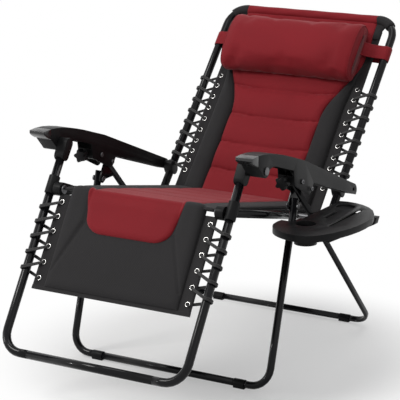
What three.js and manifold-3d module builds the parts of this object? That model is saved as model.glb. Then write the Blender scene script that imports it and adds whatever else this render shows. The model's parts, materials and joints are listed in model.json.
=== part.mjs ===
// Folding zero gravity recliner with a laced padded sling, a head pillow and a clip-on side tray.
// Millimetres, +Z up. The foot end points along -Y and the tray is on the +X side.
// Every side-view place below is [y, z]; pieces on the left side mirror those on the right.
import * as THREE from 'three';
import { mergeVertices } from 'three/addons/utils/BufferGeometryUtils.js';
import Module from 'manifold-3d';

const wasm = await Module();
wasm.setup();

// ---------- driving dimensions ----------
const GAP = 0.3;                 // running gap between touching pieces
const TUBE_R = 12.5;             // sling frame tube radius
const BASE_R = 11;               // front base leg tube radius
const SLING_X = 300;             // half distance between the sling frame tubes
const FRONT_LEG_X = 338;         // half distance between the front base legs
const REAR_LEG_X = 326.5;        // half distance between the rear base legs
const REAR_LEG_WIDE = 20;        // flat-oval rear leg, width seen from the side
const REAR_LEG_THICK = 12;       // and its thickness across the chair
const SEAT_TUBE_X = 270;
const SEAT_TUBE_R = 12;
const FRAME_BEND = 62;           // corner radius of the sling frames
const BASE_BEND = 58;            // corner radius of the base frames
const STUB = 92;                 // length of each side tube's turned-in end, past its corner

const LEG_ANGLE = 58;            // leg rest tube, degrees from the floor
const BACK_ANGLE = 49.5;         // back tube, degrees from the floor
const KNEE_Y = -402;             // pivot of the leg rest on the seat
const KNEE_Z = 560;
const HIP_Y = 179;               // pivot of the back on the seat
const HIP_Z = 385;
const ARM_LINK = 135;            // distance from the knee and hip pivots up to the armrest pivots
const LEG_LENGTH = 491;          // knee pivot down to the foot bar
const BACK_LENGTH = 744;         // hip pivot up to the top bar

const FRONT_FOOT_Y = -252;       // front floor bar
const REAR_FOOT_Y = 460;         // rear floor bar
const FOOT_LIFT = 2.5;           // floor bars stand this far off the floor, on their plastic feet
const CROSS_Y = -103.5;          // pivot that joins the front legs to the rear legs
const CROSS_Z = 522;
const SLIDE_Y = -123;            // upper end of the rear legs, inside the armrests
const SLIDE_Z = 621;
const SEAT_PIVOT_Z = 455;        // height of the seat tube's pivot on the rear legs

const PAD_HALF = 243;            // half width of the laced pads
const SEAT_PAD_HALF = SEAT_TUBE_X - SEAT_TUBE_R - 0.5;
const PAD_THICK = 20;
const SEAT_PAD_THICK = 24;
const SEAT_LOW = -10;            // underside of the seat pad, measured from the seat tubes' line
const SEAT_END = 26;             // and ends this far short of the hip pivot
const PILLOW_LENGTH = 460;
const PILLOW_HEIGHT = 200;
const PILLOW_THICK = 84;
const CORD_R = 2;                // elastic lacing cord radius
const LACE_PITCH = 40;           // distance between two eyelets on the back
const LEG_LACE_PITCH = 39;       // and on the leg rest

const ARM_INNER_X = 316;         // inner and outer faces of the armrest
const ARM_OUTER_X = 369;
const ARM_REAR_X = 356;          // outer face at the narrow rear end
const ARM_WALL = 3;
const PIN_R = 5;
const PIN_HEAD_R = 13;           // heads of the knee and hip pins, on the inner face of the brackets
const PIN_HEAD_THICK = 5;
const ARM_PIN_HEAD_R = 11.5;
const TRAY_TOP = 485;
const TRAY_SKIRT = 20;
const CUP_R = 33;
const CUP_DEPTH = 56;

// ---------- finishes ----------
const FINISH = {
  tube: new THREE.MeshStandardMaterial({ color: 0x0d0d0e, roughness: 0.22, metalness: 0.35 }),
  plastic: new THREE.MeshStandardMaterial({ color: 0x1b1c1d, roughness: 0.5, metalness: 0 }),
  gloss: new THREE.MeshStandardMaterial({ color: 0x232425, roughness: 0.15, metalness: 0 }),
  steel: new THREE.MeshStandardMaterial({ color: 0x9a9c9f, roughness: 0.3, metalness: 1 }),
  black: new THREE.MeshStandardMaterial({ color: 0x262425, roughness: 0.9, metalness: 0 }),
  red: new THREE.MeshStandardMaterial({ color: 0x7c1a22, roughness: 0.9, metalness: 0 }),
  cord: new THREE.MeshStandardMaterial({ color: 0x111111, roughness: 0.8, metalness: 0 }),
};

const chair = new THREE.Group();
const SIDES = [[1, 'right'], [-1, 'left']];

// ---------- geometry helpers ----------
const radians = THREE.MathUtils.degToRad;

/** A point [y, z] a distance along a direction in the side view, then off to its left. */
function along([y, z], degrees, distance, offset = 0) {
  const c = Math.cos(radians(degrees));
  const s = Math.sin(radians(degrees));
  return [y + c * distance - s * offset, z + s * distance + c * offset];
}

const knee = [KNEE_Y, KNEE_Z];
const hip = [HIP_Y, HIP_Z];
const armFront = along(knee, LEG_ANGLE, ARM_LINK);
const armRear = along(hip, LEG_ANGLE, ARM_LINK);
const cross = [CROSS_Y, CROSS_Z];
const slide = [SLIDE_Y, SLIDE_Z];
const rearFoot = [REAR_FOOT_Y, REAR_LEG_WIDE / 2 + FOOT_LIFT];
const frontFoot = [FRONT_FOOT_Y, BASE_R + FOOT_LIFT];
const angleOf = ([y0, z0], [y1, z1]) => Math.atan2(z1 - z0, y1 - y0) * 180 / Math.PI;
const distanceOf = ([y0, z0], [y1, z1]) => Math.hypot(y1 - y0, z1 - z0);
const REAR_LEG_ANGLE = angleOf(rearFoot, slide);
const FRONT_LEG_ANGLE = angleOf(frontFoot, cross);
const SEAT_ANGLE = angleOf(knee, hip);
const seatPivot = along(rearFoot, REAR_LEG_ANGLE,
  (SEAT_PIVOT_Z - rearFoot[1]) / Math.sin(radians(REAR_LEG_ANGLE)));

/** A curve given as stations, so that an extrusion steps only where the path bends. */
class Stations extends THREE.Curve {
  constructor(points, tangents) {
    super();
    this.points = points;
    this.tangents = tangents;
  }
  getPoint(t, target = new THREE.Vector3()) {
    return target.copy(this.points[Math.round(t * (this.points.length - 1))]);
  }
  getPointAt(t, target) {
    return this.getPoint(t, target);
  }
  getTangent(t, target = new THREE.Vector3()) {
    return target.copy(this.tangents[Math.round(t * (this.tangents.length - 1))]);
  }
  getTangentAt(t, target) {
    return this.getTangent(t, target);
  }
}

/** Straight runs through the corners, each rounded to the bend radius in the given steps. */
function bentPath(corners, bend, steps) {
  const points = [];
  const tangents = [];
  const directions = corners.slice(1).map((p, i) => p.clone().sub(corners[i]).normalize());
  points.push(corners[0].clone());
  tangents.push(directions[0].clone());
  for (let i = 1; i < corners.length - 1; i += 1) {
    const a = directions[i - 1];
    const b = directions[i];
    const turn = a.angleTo(b);
    const reach = bend * Math.tan(turn / 2);
    const side = b.clone().sub(a.clone().multiplyScalar(a.dot(b))).normalize();
    const start = corners[i].clone().addScaledVector(a, -reach);
    for (let k = 0; k <= steps; k += 1) {
      const angle = turn * k / steps;
      points.push(start.clone().addScaledVector(a, bend * Math.sin(angle))
        .addScaledVector(side, bend * (1 - Math.cos(angle))));
      tangents.push(a.clone().multiplyScalar(Math.cos(angle)).addScaledVector(side, Math.sin(angle)));
    }
  }
  points.push(corners[corners.length - 1].clone());
  tangents.push(directions[directions.length - 1].clone());
  return new Stations(points, tangents);
}

function sweep(section, path, curveSegments = 6) {
  return new THREE.ExtrudeGeometry(section, {
    steps: path.points.length - 1, extrudePath: path, bevelEnabled: false, curveSegments });
}

const roundSection = (radius) => new THREE.Shape().absarc(0, 0, radius, 0, Math.PI * 2, false);

/** A flat-oval section: x is its thickness and y its width. */
function ovalSection(thick, wide) {
  const r = thick / 2;
  const flat = wide / 2 - r;
  const shape = new THREE.Shape();
  shape.moveTo(r, -flat);
  shape.lineTo(r, flat);
  shape.absarc(0, flat, r, 0, Math.PI, false);
  shape.lineTo(-r, -flat);
  shape.absarc(0, -flat, r, Math.PI, Math.PI * 2, false);
  return shape;
}

/** A side-view outline with x as y and y as z, pushed across the chair from x0 to x1. */
function acrossChair(outline, x0, x1, curveSegments = 8) {
  const geometry = new THREE.ExtrudeGeometry(outline, {
    depth: x1 - x0, bevelEnabled: false, curveSegments });
  // The outline's own axes become Y and Z, and its depth becomes X.
  const turn = new THREE.Matrix4().makeBasis(
    new THREE.Vector3(0, 1, 0), new THREE.Vector3(0, 0, 1), new THREE.Vector3(1, 0, 0));
  geometry.applyMatrix4(turn);
  geometry.translate(x0, 0, 0);
  return geometry;
}

/** A plan outline with x and y as they are, pushed up from z0 to z1. */
function upward(outline, z0, z1, curveSegments = 10) {
  const geometry = new THREE.ExtrudeGeometry(outline, {
    depth: z1 - z0, bevelEnabled: false, curveSegments });
  geometry.translate(0, 0, z0);
  return geometry;
}

/** A round bar across the chair at a side-view place. */
function barAcross([y, z], radius, x0, x1, sides = 16) {
  const geometry = new THREE.CylinderGeometry(radius, radius, x1 - x0, sides);
  geometry.rotateZ(-Math.PI / 2);
  geometry.translate((x0 + x1) / 2, y, z);
  return geometry;
}

function block(x0, x1, y0, y1, z0, z1) {
  const geometry = new THREE.BoxGeometry(x1 - x0, y1 - y0, z1 - z0);
  geometry.translate((x0 + x1) / 2, (y0 + y1) / 2, (z0 + z1) / 2);
  return geometry;
}

function solid(geometry) {
  const bare = new THREE.BufferGeometry();
  bare.setAttribute('position', geometry.getAttribute('position').clone());
  if (geometry.index) bare.setIndex(geometry.index.clone());
  const merged = mergeVertices(bare, 1e-3);
  const vertProperties = new Float32Array(merged.getAttribute('position').array);
  const triVerts = new Uint32Array(merged.index.array);
  return new wasm.Manifold(new wasm.Mesh({ numProp: 3, vertProperties, triVerts }));
}

function fromSolid(body) {
  const mesh = body.getMesh();
  const geometry = new THREE.BufferGeometry();
  geometry.setAttribute('position', new THREE.BufferAttribute(new Float32Array(mesh.vertProperties), 3));
  geometry.setIndex(new THREE.BufferAttribute(new Uint32Array(mesh.triVerts), 1));
  geometry.computeVertexNormals();
  return geometry;
}

const join = (...geometries) => fromSolid(geometries.map(solid).reduce((a, b) => a.add(b)));
const cut = (geometry, ...tools) => fromSolid(tools.map(solid).reduce((a, b) => a.subtract(b), solid(geometry)));
const common = (a, b) => fromSolid(solid(a).intersect(solid(b)));

/** Mirrors a solid to the other side of the chair and turns its faces back outwards. */
function mirrored(geometry) {
  const copy = geometry.clone();
  const position = copy.getAttribute('position');
  for (let i = 0; i < position.count; i += 1) position.setX(i, -position.getX(i));
  if (!copy.index) copy.setIndex([...Array(position.count).keys()]);
  const index = copy.index;
  for (let i = 0; i < index.count; i += 3) {
    const keep = index.getX(i);
    index.setX(i, index.getX(i + 1));
    index.setX(i + 1, keep);
  }
  copy.computeVertexNormals();
  return copy;
}

function place(name, geometry, finish) {
  const mesh = new THREE.Mesh(geometry, finish);
  mesh.name = name;
  chair.add(mesh);
}

/** Places a right-hand piece and its mirrored left-hand twin. */
function placePair(name, geometry, finish) {
  SIDES.forEach(([side, word]) => {
    place(`${name}_${word}`, side > 0 ? geometry : mirrored(geometry), finish);
  });
}

/** A rounded bar outline round two side-view places. */
function capsule([y0, z0], r0, [y1, z1], r1) {
  const heading = Math.atan2(z1 - z0, y1 - y0);
  const lean = Math.acos((r0 - r1) / Math.hypot(y1 - y0, z1 - z0));
  const shape = new THREE.Shape();
  shape.absarc(y0, z0, r0, heading + lean, heading - lean + Math.PI * 2, false);
  shape.absarc(y1, z1, r1, heading - lean, heading + lean, false);
  shape.closePath();
  return shape;
}

function disc([y, z], radius) {
  return new THREE.Shape().absarc(y, z, radius, 0, Math.PI * 2, false);
}

/** A slab outline along a side-view direction, with rounded long edges. */
function slab(origin, degrees, from, to, low, high, round) {
  const shape = new THREE.Shape();
  const corners = [[from, low], [to, low], [to, high], [from, high]];
  const at = (s, t) => along(origin, degrees, s, t);
  corners.forEach(([s, t], i) => {
    const [s0, t0] = corners[(i + 3) % 4];
    const [s2, t2] = corners[(i + 1) % 4];
    const step = (a, b) => Math.sign(b - a) * round;
    const enter = at(s + step(s, s0), t + step(t, t0));
    const leave = at(s + step(s, s2), t + step(t, t2));
    const corner = at(s, t);
    if (i === 0) shape.moveTo(...enter);
    else shape.lineTo(...enter);
    shape.quadraticCurveTo(corner[0], corner[1], leave[0], leave[1]);
  });
  shape.closePath();
  return shape;
}

// ---------- base: front legs, rear legs, floor bars ----------
function sideTube(section, x, top, foot, bend) {
  const corners = [new THREE.Vector3(x, ...top), new THREE.Vector3(x, ...foot),
    new THREE.Vector3(x - STUB, ...foot)];
  return sweep(section, bentPath(corners, bend, 7));
}

function floorBar(section, x, [y, z]) {
  const end = x - STUB - GAP;
  return sweep(section, bentPath([new THREE.Vector3(end, y, z), new THREE.Vector3(-end, y, z)], 1, 1));
}

/** The rear floor bar's section in the side view, turned with the rear legs, grown by a margin. */
function ovalOutline(margin) {
  const half = (REAR_LEG_WIDE - REAR_LEG_THICK) / 2;
  const r = REAR_LEG_THICK / 2 + margin;
  return capsule(along(rearFoot, REAR_LEG_ANGLE, 0, -half), r, along(rearFoot, REAR_LEG_ANGLE, 0, half), r);
}

function buildBase() {
  const oval = ovalSection(REAR_LEG_THICK, REAR_LEG_WIDE);
  placePair('rear_leg', sideTube(oval, REAR_LEG_X, slide, rearFoot, BASE_BEND), FINISH.tube);
  const barEnd = REAR_LEG_X - STUB - GAP;
  place('rear_floor_bar', acrossChair(ovalOutline(0), -barEnd, barEnd, 6), FINISH.tube);
  const round = roundSection(BASE_R);
  const frontTop = along(cross, FRONT_LEG_ANGLE, 24);
  placePair('front_leg', cut(sideTube(round, FRONT_LEG_X, frontTop, frontFoot, BASE_BEND),
    barAcross(cross, PIN_R + GAP, FRONT_LEG_X - 20, FRONT_LEG_X + 20)), FINISH.tube);
  place('front_floor_bar', floorBar(round, FRONT_LEG_X, frontFoot), FINISH.tube);
  buildCrossing();
  buildFeet();
}

/** Web plate on the rear leg's front edge, which carries the front leg's pivot bolt. */
function buildCrossing() {
  const x0 = REAR_LEG_X - REAR_LEG_THICK / 2;
  const x1 = FRONT_LEG_X - BASE_R - GAP;
  const edge = -REAR_LEG_WIDE / 2 - GAP;
  const foot = distanceOf(rearFoot, cross) * Math.cos(radians(
    angleOf(rearFoot, cross) - REAR_LEG_ANGLE));
  const corner = (s, t) => along(rearFoot, REAR_LEG_ANGLE, s, -t);
  const shape = new THREE.Shape();
  shape.moveTo(...corner(foot - 46, edge));
  shape.lineTo(...corner(foot + 26, edge));
  const [y, z] = cross;
  const lean = radians(REAR_LEG_ANGLE);
  shape.absarc(y, z, 13, lean + 0.25, lean + Math.PI + 0.5, false);
  shape.closePath();
  placePair('web_plate', cut(acrossChair(shape, x0, x1),
    barAcross(cross, PIN_R + GAP, x0 - 5, x1 + 5)), FINISH.tube);
  placePair('crossing_bolt', join(barAcross(cross, PIN_R, x0 - 3, FRONT_LEG_X + BASE_R + 4, 14),
    barAcross(cross, 8.5, FRONT_LEG_X + BASE_R + GAP, FRONT_LEG_X + BASE_R + 4.5, 14),
    barAcross(cross, 8.5, x0 - 5, x0 - GAP, 6)), FINISH.steel);
  const seatSide = SEAT_TUBE_X + SEAT_TUBE_R;
  placePair('seat_pivot_bolt', barAcross(seatPivot, 7, seatSide + GAP,
    REAR_LEG_X - REAR_LEG_THICK / 2 - GAP, 14), FINISH.steel);
}

/** Plastic feet that sleeve each joint between a turned-in tube end and its floor bar. */
function buildFeet() {
  const length = 36;
  const foot = (x, [y], outline) => {
    const middle = x - STUB;
    const from = middle - length / 2;
    const base = block(from, middle + length / 2, y - 9, y + 9, 0, 6);
    const body = join(acrossChair(outline(1.8), from, middle + length / 2, 8), base);
    return cut(body, acrossChair(outline(GAP), from - 5, middle + length, 8));
  };
  const roundOutline = (margin) => disc(frontFoot, BASE_R + margin);
  placePair('front_foot', foot(FRONT_LEG_X, frontFoot, roundOutline), FINISH.plastic);
  placePair('rear_foot', foot(REAR_LEG_X, rearFoot, ovalOutline), FINISH.plastic);
}

// ---------- seat frame ----------
const SEAT_BRACKET = 60;         // length of the plastic bracket at each end of a seat tube
const SEAT_BRACKET_HALF = 13;
const SEAT_RISE = 30;            // the seat tube's rear end stands this far above the hip pivot
const seatRear = along(hip, SEAT_ANGLE, -42, SEAT_RISE);
const TUBE_ANGLE = angleOf(knee, seatRear);
const seatFront = along(knee, TUBE_ANGLE, SEAT_BRACKET);

function buildSeatFrame() {
  const x0 = SEAT_TUBE_X - SEAT_BRACKET_HALF + 1;
  const x1 = SEAT_TUBE_X + SEAT_BRACKET_HALF;
  const bore = (place) => barAcross(place, PIN_R + GAP, x0 - 5, x1 + 5);
  const start = along(seatFront, TUBE_ANGLE, GAP);
  const end = along(seatRear, TUBE_ANGLE, -GAP);
  const tubePath = bentPath([new THREE.Vector3(SEAT_TUBE_X, ...start),
    new THREE.Vector3(SEAT_TUBE_X, ...end)], 1, 1);
  placePair('seat_tube', sweep(roundSection(SEAT_TUBE_R), tubePath, 7), FINISH.tube);

  const frontShape = capsule(knee, 20, along(seatFront, TUBE_ANGLE, -14), 14);
  const frontTrim = slab(knee, TUBE_ANGLE, -40, SEAT_BRACKET, -40, 40, 1);
  placePair('front_seat_bracket', cut(common(acrossChair(frontShape, x0, x1),
    acrossChair(frontTrim, x0, x1)), bore(knee)), FINISH.plastic);

  const rearShape = capsule(hip, 18, along(seatRear, TUBE_ANGLE, 14), 14);
  const clearTube = slab(seatRear, TUBE_ANGLE, -60, 0, -40, 40, 1);
  placePair('rear_seat_bracket', cut(acrossChair(rearShape, x0, x1),
    acrossChair(clearTube, x0 - 5, x1 + 5), bore(hip)), FINISH.plastic);

  const padShape = slab(knee, TUBE_ANGLE, PIN_HEAD_R + 1, distanceOf(knee, hip) - SEAT_END, SEAT_LOW,
    SEAT_LOW + SEAT_PAD_THICK, 8);
  place('seat_pad', acrossChair(padShape, -SEAT_PAD_HALF, SEAT_PAD_HALF, 3), FINISH.red);
}

// ---------- pivot pins that carry the folding linkage ----------
function buildPins() {
  const inner = SEAT_TUBE_X - SEAT_BRACKET_HALF + 1 - GAP;
  const tubeInside = SLING_X - TUBE_R - GAP;
  const headed = (pivot, end) => join(barAcross(pivot, PIN_R, inner - 1, end, 14),
    barAcross(pivot, PIN_HEAD_R, inner - PIN_HEAD_THICK, inner, 20));
  placePair('knee_pin', headed(knee, tubeInside - 4), FINISH.steel);
  placePair('hip_pin', headed(hip, tubeInside), FINISH.steel);
  const tubeFace = SLING_X + TUBE_R + 3 + GAP;
  placePair('arm_pin', join(barAcross(armFront, PIN_R, tubeFace, ARM_OUTER_X + 2, 14),
    barAcross(armFront, ARM_PIN_HEAD_R, ARM_OUTER_X + GAP, ARM_OUTER_X + 3.5, 18)), FINISH.steel);
}

// ---------- sling frames ----------
/** Ring round a sling frame tube: a stretch from one place to another along the tube. */
function tubeRing(origin, degrees, from, to, outer, inner) {
  const run = (radius, a, b) => sweep(roundSection(radius), bentPath([
    new THREE.Vector3(SLING_X, ...along(origin, degrees, a)),
    new THREE.Vector3(SLING_X, ...along(origin, degrees, b))], 1, 1), 9);
  return cut(run(outer, from, to), run(inner, from - 5, to + 5));
}

/** Elastic cord laced between the pad's eyelets and the tube, made whole. */
function lacing(origin, degrees, first, pitch, count) {
  const wrapR = TUBE_R + CORD_R + GAP;
  const hookX = PAD_HALF + CORD_R + 0.5;
  const hookR = 3.2;
  const points = [];
  const tangents = [];
  const add = (x, s, t, dx, ds, dt) => {
    const [y, z] = along(origin, degrees, s, t);
    const [ey, ez] = along([0, 0], degrees, ds, dt);
    points.push(new THREE.Vector3(x, y, z));
    tangents.push(new THREE.Vector3(dx, ey, ez).normalize());
  };
  const reach = SLING_X - hookX;
  const leave = Math.acos((wrapR - hookR) / reach);
  for (let i = 0; i < count; i += 1) {
    const s0 = first + i * pitch;
    for (let k = 0; k <= 4; k += 1) {
      const a = -leave + 2 * leave * k / 4;
      add(hookX + hookR - hookR * Math.cos(a), s0, hookR * Math.sin(a), Math.sin(a), 0, Math.cos(a));
    }
    if (i === count - 1) break;
    for (let k = 0; k <= 8; k += 1) {
      const a = Math.PI - leave - (Math.PI - leave) * 2 * k / 8;
      const s = s0 + pitch * (0.2 + 0.6 * k / 8);
      add(SLING_X + wrapR * Math.cos(a), s, wrapR * Math.sin(a),
        Math.sin(a), pitch * 0.6 / 8 / 5.2, -Math.cos(a));
    }
  }
  return sweep(roundSection(CORD_R), new Stations(points, tangents), 3);
}

function slingFrame(name, barName, origin, degrees, top, length) {
  const start = along(origin, degrees, top);
  const end = along(origin, degrees, length);
  placePair(name, sideTube(roundSection(TUBE_R), SLING_X, start, end, FRAME_BEND), FINISH.tube);
  place(barName, floorBar(roundSection(TUBE_R), SLING_X, end), FINISH.tube);
}

function buildLegRest() {
  slingFrame('leg_rest_tube', 'foot_bar', knee, LEG_ANGLE, ARM_LINK + 8, -LEG_LENGTH);
  const collar = tubeRing(knee, LEG_ANGLE, -18, 36, TUBE_R + 4, TUBE_R + GAP);
  placePair('knee_collar', collar, FINISH.plastic);
  const capStart = along(knee, LEG_ANGLE, ARM_LINK - 34);
  const capEnd = along(knee, LEG_ANGLE, ARM_LINK + 4);
  const cap = acrossChair(capsule(capStart, 15.5, capEnd, 17), SLING_X - TUBE_R - 3, SLING_X + TUBE_R + 3);
  const bore = sweep(roundSection(TUBE_R + GAP), bentPath([
    new THREE.Vector3(SLING_X, ...along(knee, LEG_ANGLE, ARM_LINK - 80)),
    new THREE.Vector3(SLING_X, ...along(knee, LEG_ANGLE, ARM_LINK + 8 + GAP))], 1, 1), 9);
  placePair('arm_yoke', cut(cap, bore), FINISH.plastic);
  const shape = slab(knee, LEG_ANGLE, -300, -70, -PAD_THICK / 2, PAD_THICK / 2, 7);
  place('leg_pad', acrossChair(shape, -PAD_HALF, PAD_HALF, 3), FINISH.black);
  placePair('leg_lacing', lacing(knee, LEG_ANGLE, -284, LEG_LACE_PITCH, 6), FINISH.cord);
}

function buildBack() {
  slingFrame('back_tube', 'back_top_bar', hip, BACK_ANGLE, -16, BACK_LENGTH);
  const ear = armRear;
  const s = ARM_LINK * Math.cos(radians(LEG_ANGLE - BACK_ANGLE));
  const low = along(hip, BACK_ANGLE, s - 6);
  const clampShape = capsule(ear, 13, low, TUBE_R + 4);
  const bore = sweep(roundSection(TUBE_R + GAP), bentPath([
    new THREE.Vector3(SLING_X, ...along(hip, BACK_ANGLE, s - 60)),
    new THREE.Vector3(SLING_X, ...along(hip, BACK_ANGLE, s + 60))], 1, 1), 9);
  const clampFace = SLING_X + TUBE_R + 3;
  const body = cut(acrossChair(clampShape, SLING_X - TUBE_R - 3, clampFace), bore);
  const pinEnd = ARM_INNER_X + ARM_WALL + 4;
  const clamp = join(body, barAcross(ear, PIN_R, clampFace - 6, pinEnd, 14));
  placePair('arm_clamp', clamp, FINISH.plastic);
  const sleeveR = TUBE_R + 3.5;
  const barEnd = along(hip, BACK_ANGLE, BACK_LENGTH);
  const half = SLING_X - FRAME_BEND - 6;
  const sleeve = cut(barAcross(barEnd, sleeveR, -half, half, 24),
    barAcross(barEnd, TUBE_R + GAP, -SLING_X, SLING_X, 24));
  place('top_sleeve', sleeve, FINISH.red);
  const shape = slab(hip, BACK_ANGLE, 86, BACK_LENGTH - sleeveR - GAP,
    -PAD_THICK / 2, PAD_THICK / 2, 7);
  place('back_pad', acrossChair(shape, -PAD_HALF, PAD_HALF, 3), FINISH.red);
  placePair('back_lacing', lacing(hip, BACK_ANGLE, 170, LACE_PITCH, 9), FINISH.cord);
}

/** Boxy head pillow with a strap from each end round the back tube. */
function buildPillow() {
  const rest = PAD_THICK / 2 + GAP;
  const start = 492;
  const shape = slab(hip, BACK_ANGLE, start, start + PILLOW_HEIGHT, rest, rest + PILLOW_THICK, 34);
  const half = PILLOW_LENGTH / 2;
  place('head_pillow', acrossChair(shape, -half, half, 5), FINISH.red);
  const from = 600;
  const to = 648;
  const ring = tubeRing(hip, BACK_ANGLE, from, to, TUBE_R + 2.4, TUBE_R + GAP);
  const bottom = TUBE_R + GAP;
  const tongue = acrossChair(slab(hip, BACK_ANGLE, from, to, bottom, bottom + 2.1, 0.8),
    half + GAP, SLING_X - 1, 2);
  placePair('pillow_strap', join(ring, tongue), FINISH.red);
}

// ---------- armrests ----------
function armrestOutline() {
  const shape = new THREE.Shape();
  const [fy, fz] = armFront;
  const [ry, rz] = armRear;
  shape.moveTo(fy - 80, fz + 50);
  shape.bezierCurveTo(fy + 10, fz + 62, fy + 130, fz + 18, fy + 235, fz - 16);
  shape.lineTo(ry + 12, rz + 14);
  shape.quadraticCurveTo(ry + 26, rz + 6, ry + 24, rz - 12);
  shape.lineTo(ry + 18, rz - 21);
  shape.lineTo(SLIDE_Y + 88, SLIDE_Z - 41);
  shape.lineTo(SLIDE_Y + 74, SLIDE_Z - 62);
  shape.quadraticCurveTo(SLIDE_Y + 62, SLIDE_Z - 76, SLIDE_Y + 46, SLIDE_Z - 66);
  shape.lineTo(SLIDE_Y - 38, SLIDE_Z - 24);
  shape.lineTo(SLIDE_Y - 44, SLIDE_Z + 22);
  shape.lineTo(fy + 46, fz + 5);
  shape.lineTo(fy + 24, fz + 2);
  shape.absarc(fy, fz, 19, -0.25, -Math.PI + 0.5, true);
  shape.lineTo(fy - 46, fz + 22);
  shape.quadraticCurveTo(fy - 66, fz + 28, fy - 80, fz + 42);
  shape.closePath();
  return shape;
}

/** Hollow under the armrest's top, open below, where the rear leg's upper end moves. */
function armrestHollow() {
  const shape = new THREE.Shape();
  const [fy, fz] = armFront;
  const [ry, rz] = armRear;
  const skin = 6;
  shape.moveTo(fy + 62, fz + 34);
  shape.quadraticCurveTo(fy + 150, fz + 12, fy + 235, fz - 16 - skin);
  shape.lineTo(ry - 6, rz + 14 - skin);
  shape.lineTo(ry - 6, rz - 60);
  shape.lineTo(SLIDE_Y + 70, SLIDE_Z - 120);
  shape.lineTo(SLIDE_Y - 32, SLIDE_Z - 60);
  shape.lineTo(SLIDE_Y - 32, SLIDE_Z + 2);
  shape.lineTo(fy + 62, fz - 10);
  shape.closePath();
  return shape;
}

/** Plan outline of the armrest, which narrows to the rear. */
function armrestPlan() {
  const shape = new THREE.Shape();
  const front = armFront[0] - 90;
  shape.moveTo(ARM_INNER_X, front + 14);
  shape.quadraticCurveTo(ARM_INNER_X, front + 6, ARM_INNER_X + 10, front + 6);
  shape.lineTo(ARM_OUTER_X - 10, front + 6);
  shape.quadraticCurveTo(ARM_OUTER_X, front + 6, ARM_OUTER_X, front + 16);
  shape.lineTo(ARM_OUTER_X, SLIDE_Y - 20);
  shape.lineTo(ARM_REAR_X, armRear[0] - 60);
  shape.lineTo(ARM_REAR_X, armRear[0] + 40);
  shape.lineTo(ARM_INNER_X, armRear[0] + 40);
  shape.closePath();
  return shape;
}

function buildArmrests() {
  const whole = common(acrossChair(armrestOutline(), ARM_INNER_X, ARM_OUTER_X, 9),
    upward(armrestPlan(), SLIDE_Z - 300, SLIDE_Z + 300, 5));
  const hollow = acrossChair(armrestHollow(), ARM_INNER_X + ARM_WALL, ARM_OUTER_X - ARM_WALL, 6);
  const narrow = armrestRearClear();
  const noseCut = armFront[0] - 44;
  const nose = block(ARM_INNER_X - 10, ARM_OUTER_X + 10, noseCut - 100, noseCut, 0, 2000);
  const bore = (place) => barAcross(place, PIN_R + GAP, ARM_INNER_X - 5, ARM_OUTER_X + 5);
  const body = cut(whole, common(hollow, narrow), nose, bore(armFront), bore(armRear));
  placePair('armrest', body, FINISH.plastic);
  const nosePart = common(whole, block(ARM_INNER_X - 10, ARM_OUTER_X + 10,
    noseCut - 100, noseCut - GAP, 0, 2000));
  placePair('armrest_nose', nosePart, FINISH.gloss);
}

/** Keeps the hollow a wall's thickness inside the narrowing outer side. */
function armrestRearClear() {
  const shape = new THREE.Shape();
  const x0 = ARM_INNER_X + ARM_WALL;
  shape.moveTo(x0, armFront[0]);
  shape.lineTo(ARM_OUTER_X - ARM_WALL, armFront[0]);
  shape.lineTo(ARM_OUTER_X - ARM_WALL, SLIDE_Y - 20);
  shape.lineTo(ARM_REAR_X - ARM_WALL, armRear[0] - 60);
  shape.lineTo(ARM_REAR_X - ARM_WALL, armRear[0] + 30);
  shape.lineTo(x0, armRear[0] + 30);
  shape.closePath();
  return upward(shape, SLIDE_Z - 300, SLIDE_Z + 300, 4);
}

/** Star knob that clamps the armrest on the rear leg; its stem runs into the lug's front wall. */
function buildKnobs() {
  const x = (ARM_INNER_X + ARM_OUTER_X) / 2;
  const y = SLIDE_Y - 41;
  const z = SLIDE_Z - 13;
  const shape = new THREE.Shape();
  const lobes = 5;
  const reach = 21;
  for (let i = 0; i <= lobes * 6; i += 1) {
    const a = Math.PI * 2 * i / (lobes * 6);
    const r = reach - 3.5 + 3.5 * Math.cos(lobes * a);
    if (i === 0) shape.moveTo(r, 0);
    else shape.lineTo(r * Math.cos(a), r * Math.sin(a));
  }
  const star = new THREE.ExtrudeGeometry(shape, { depth: 18, bevelEnabled: true,
    bevelThickness: 2, bevelSize: 2, bevelOffset: -2, bevelSegments: 2 });
  star.rotateX(Math.PI / 2);
  star.translate(x, y - 12, z);
  const stem = new THREE.CylinderGeometry(9, 9, 14, 16);
  stem.translate(x, y - 7.5, z);
  placePair('lock_knob', join(star, stem), FINISH.plastic);
}

// ---------- side tray ----------
function trayOutline(inset) {
  const shape = new THREE.Shape();
  const inner = ARM_REAR_X + 3 + inset;
  const notch = FRONT_LEG_X + BASE_R + GAP * 2 + inset;
  const frontEdge = trayLegY() - BASE_R - 1.5 - inset;
  shape.moveTo(inner, 150 - inset);
  shape.bezierCurveTo(inner + 60, 172 - inset, 532 - inset, 120, 533 - inset, -34);
  shape.bezierCurveTo(534 - inset, -140, 490 - inset, -262 + inset, 432, -262 + inset);
  shape.bezierCurveTo(392, -262 + inset, 326 + inset, -236 + inset, 314 + inset, -184);
  shape.quadraticCurveTo(308 + inset, frontEdge - 20, 314 + inset, frontEdge);
  shape.lineTo(notch, frontEdge);
  shape.lineTo(notch, frontEdge + 34 + 2 * inset);
  shape.lineTo(inner, frontEdge + 48 + 2 * inset);
  shape.closePath();
  return shape;
}

/** Where the front leg passes through the tray's top plane. */
function trayLegY() {
  const rise = (TRAY_TOP - TRAY_SKIRT - frontFoot[1]) / Math.sin(radians(FRONT_LEG_ANGLE));
  return along(frontFoot, FRONT_LEG_ANGLE, rise)[0];
}

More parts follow.
